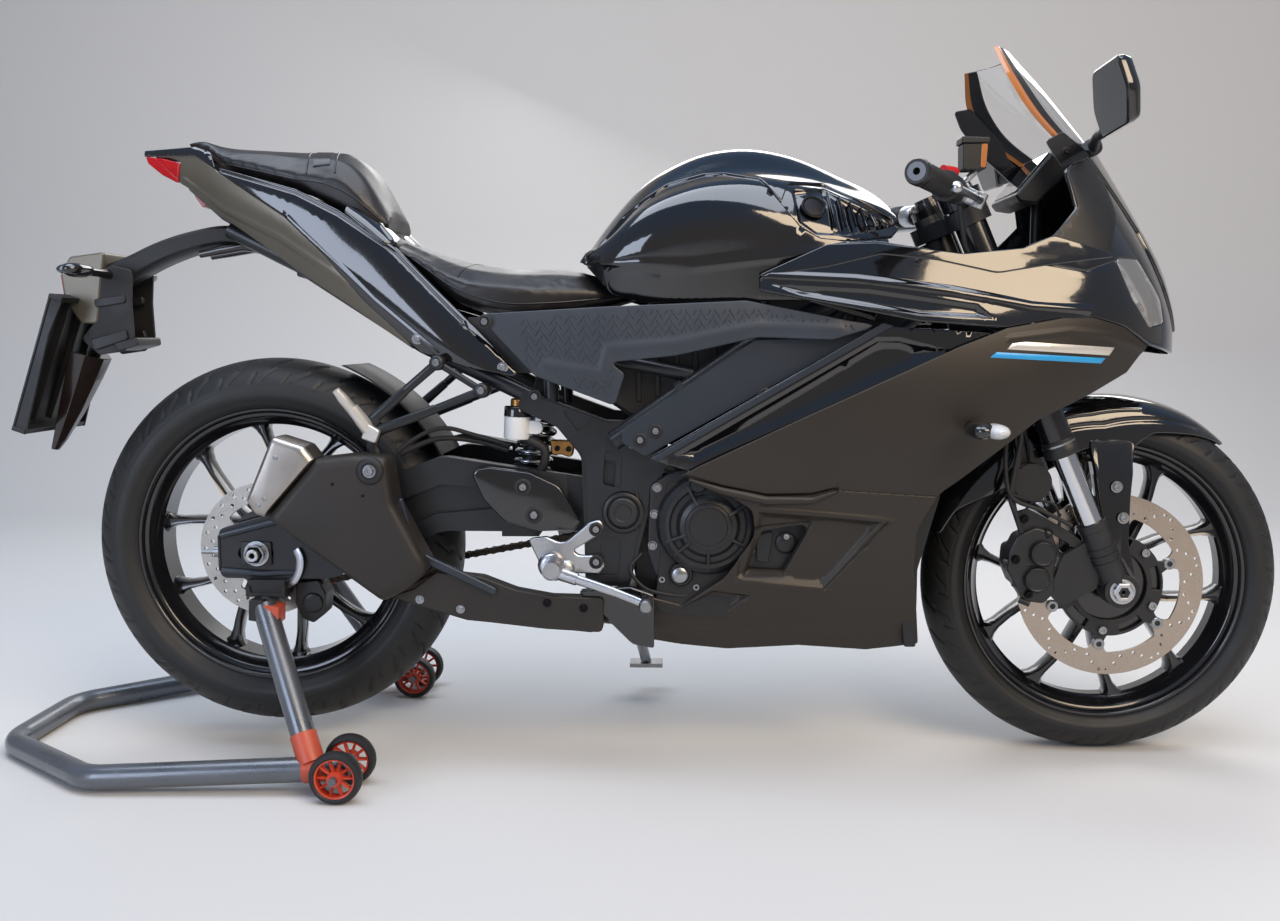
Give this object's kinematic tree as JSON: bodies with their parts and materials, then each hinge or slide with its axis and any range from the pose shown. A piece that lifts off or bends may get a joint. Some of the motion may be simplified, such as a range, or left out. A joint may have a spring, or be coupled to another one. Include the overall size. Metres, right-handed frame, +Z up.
{
  "type": "sport bike",
  "caption": "Faired sport motorcycle with clip-on bars, stepped seats and side silencer, parked on a wheeled rear paddock stand.",
  "frame": {"origin": "on the floor under the middle of the whole part", "axes": "+X forward, +Y to the rider's left, +Z up"},
  "size_m": [2.127, 0.772, 1.138],
  "materials": {
    "tyre": "matt rubber",
    "rim": "satin black cast wheel",
    "disc": "ground steel",
    "frame": "satin black",
    "fork_outer": "gloss black",
    "stanchion": "polished",
    "cast_dark": "dark cast",
    "cast_bright": "satin",
    "steel": "bare",
    "chain": "oiled",
    "spring": "bright",
    "gloss_body": "gloss black",
    "gloss_tank": "gloss black",
    "matt_body": "matt dark grey lacquer",
    "grain": "grained dark grey",
    "trim": "satin black",
    "vinyl": "black vinyl",
    "rubber": "matt",
    "screen": "clear",
    "lamp": "clear lens",
    "red_lens": "red lens",
    "plate": "blank white",
    "silencer": "matt dark grey",
    "end_cap": "brushed",
    "pipe": "heat stained",
    "radiator": "black fins",
    "stand": "grey paint",
    "stand_pad": "red rubber",
    "stand_wheel": "black tread"
  },
  "bodies": {
    "machine": {"drive_chain": "chain", "engine_block": "cast_dark", "engine_covers": "trim", "exhaust_pipes": "pipe", "foot_pedals": "cast_bright", "fuel_tank": "gloss_tank", "headlights": "lamp", "indicators": "trim", "inner_panels": "trim", "instruments": "trim", "main_frame": "frame", "mirrors": "trim", "number_plate": "plate", "passenger_footrests": "frame", "passenger_seat": "vinyl", "plate_holder": "trim", "radiator": "radiator", "rear_axle": "steel", "rear_caliper": "cast_dark", "rear_hugger": "trim", "rear_shock": "spring", "rider_footrests": "cast_bright", "rider_seat": "vinyl", "seat_subframe": "frame", "side_covers": "grain", "side_fairings": "matt_body", "silencer": "silencer", "silencer_cap": "end_cap", "stand_frame": "stand", "stand_pads": "stand_pad", "swingarm": "frame", "tail_cowl": "gloss_body", "tail_light": "red_lens", "tank_cover": "gloss_body", "upper_fairing": "gloss_body", "windscreen": "screen"},
    "steering": {"fork_tubes": "fork_outer", "fork_sliders": "stanchion", "fork_feet": "fork_outer", "triple_clamps": "cast_dark", "handlebars": "cast_dark", "hand_grips": "rubber", "hand_controls": "cast_bright", "front_fender": "gloss_body", "front_caliper": "cast_dark", "brake_hose": "rubber", "horn": "trim"},
    "front_wheel": {"front_tyre": "tyre", "front_rim": "rim", "front_disc": "disc"},
    "rear_wheel": {"rear_tyre": "tyre", "rear_rim": "rim", "rear_disc": "disc", "rear_sprocket": "steel"},
    "side_stand": {"side_stand": "steel"},
    "stand_wheels_left": {"stand_wheels_left": "stand_wheel"},
    "stand_wheels_right": {"stand_wheels_right": "stand_wheel"}
  },
  "joints": [
    {"name": "steering", "type": "hinge", "parent": "machine", "child": "steering", "pos_m": [0.73807, 0, 0.27625], "axis": [-0.3987, 0, 0.9171], "range_deg": [-34, 34]},
    {"name": "front_wheel_spin", "type": "hinge", "parent": "steering", "child": "front_wheel", "pos_m": [0.772, 0, 0.291], "axis": [0, 1, 0], "continuous": true},
    {"name": "rear_wheel_spin", "type": "hinge", "parent": "machine", "child": "rear_wheel", "pos_m": [-0.608, 0, 0.347], "axis": [0, 1, 0], "continuous": true},
    {"name": "side_stand_fold", "type": "hinge", "parent": "machine", "child": "side_stand", "pos_m": [-0.033, 0.122, 0.27], "axis": [0.2345, 0.7735, 0.5888], "range_deg": [0, 98]},
    {"name": "stand_wheels_left_spin", "type": "hinge", "parent": "machine", "child": "stand_wheels_left", "pos_m": [-0.44, 0.258, 0.04], "axis": [0, 1, 0], "continuous": true},
    {"name": "stand_wheels_right_spin", "type": "hinge", "parent": "machine", "child": "stand_wheels_right", "pos_m": [-0.44, -0.258, 0.04], "axis": [0, 1, 0], "continuous": true}
  ]
}
